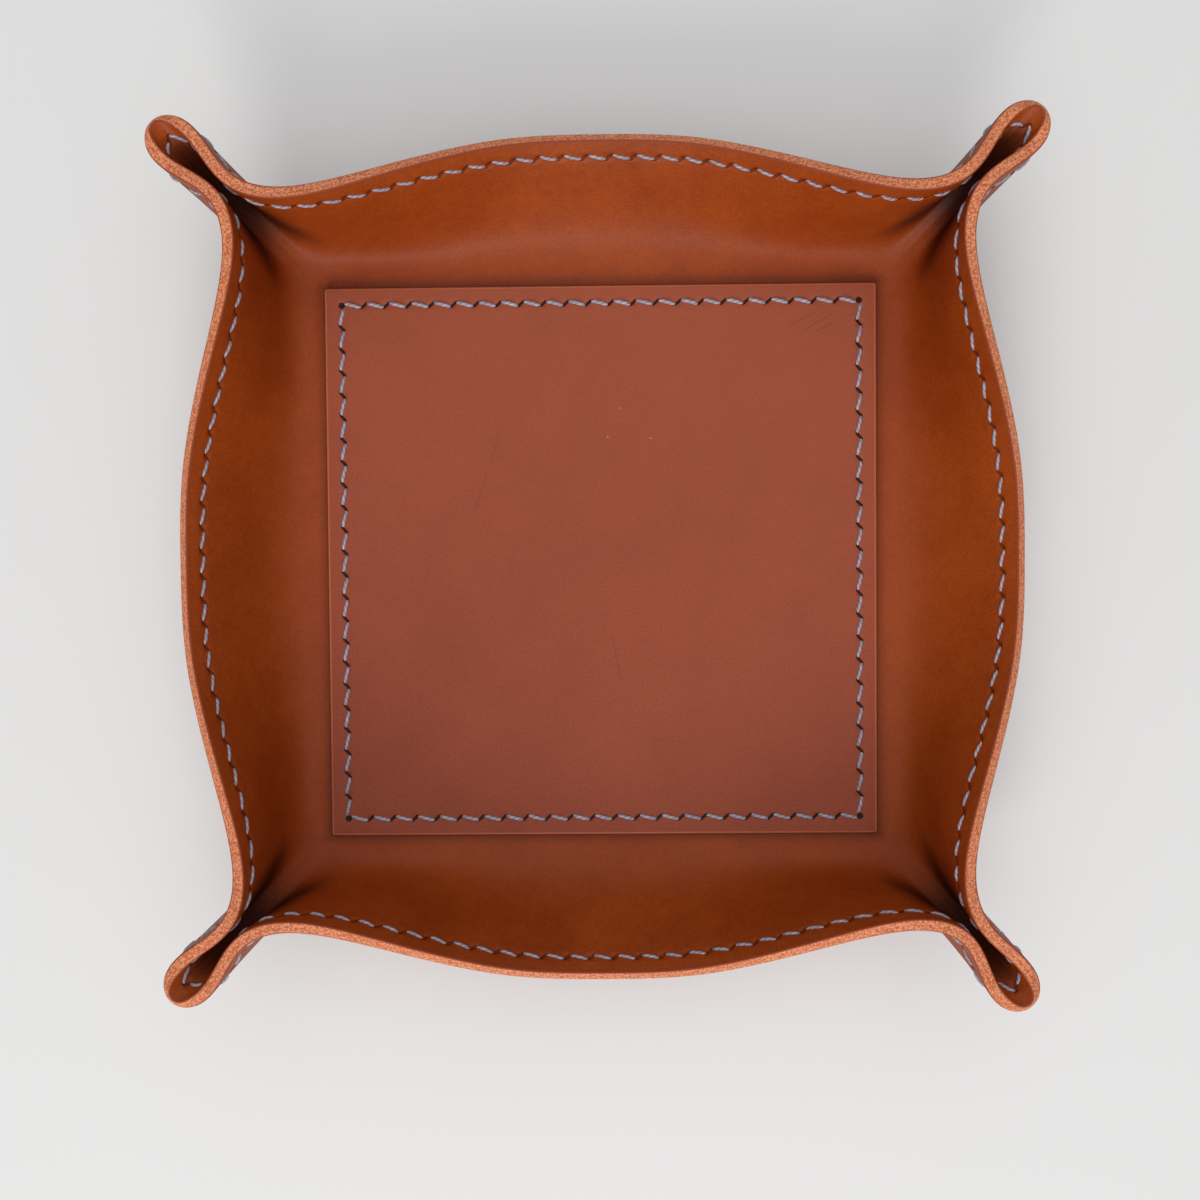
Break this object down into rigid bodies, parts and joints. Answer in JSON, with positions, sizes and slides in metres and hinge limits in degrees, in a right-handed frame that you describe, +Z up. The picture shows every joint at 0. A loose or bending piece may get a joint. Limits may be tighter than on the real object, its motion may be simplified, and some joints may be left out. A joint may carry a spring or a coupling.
{
  "type": "valet tray",
  "caption": "Low open square leather tray with flared walls, pinched corner loops, a stitched base panel and a stitched rim, for keys, coins and other pocket things.",
  "frame": {"origin": "centre of the flat underside", "axes": "+Z up out of the open tray, +Y to the back side, at the top of the picture, and +X to the right side"},
  "size_m": [0.1585, 0.16, 0.028],
  "materials": {
    "shell_leather": "smooth waxed vegetable-tanned grain",
    "lining_leather": "smooth waxed vegetable-tanned grain",
    "panel_leather": "smooth waxed vegetable-tanned grain",
    "thread": "waxed twisted thread"
  },
  "bodies": {
    "root": {"outer_shell": "shell_leather", "inner_lining": "lining_leather", "base_panel": "panel_leather", "panel_thread": "thread", "rim_thread": "thread"}
  },
  "joints": []
}
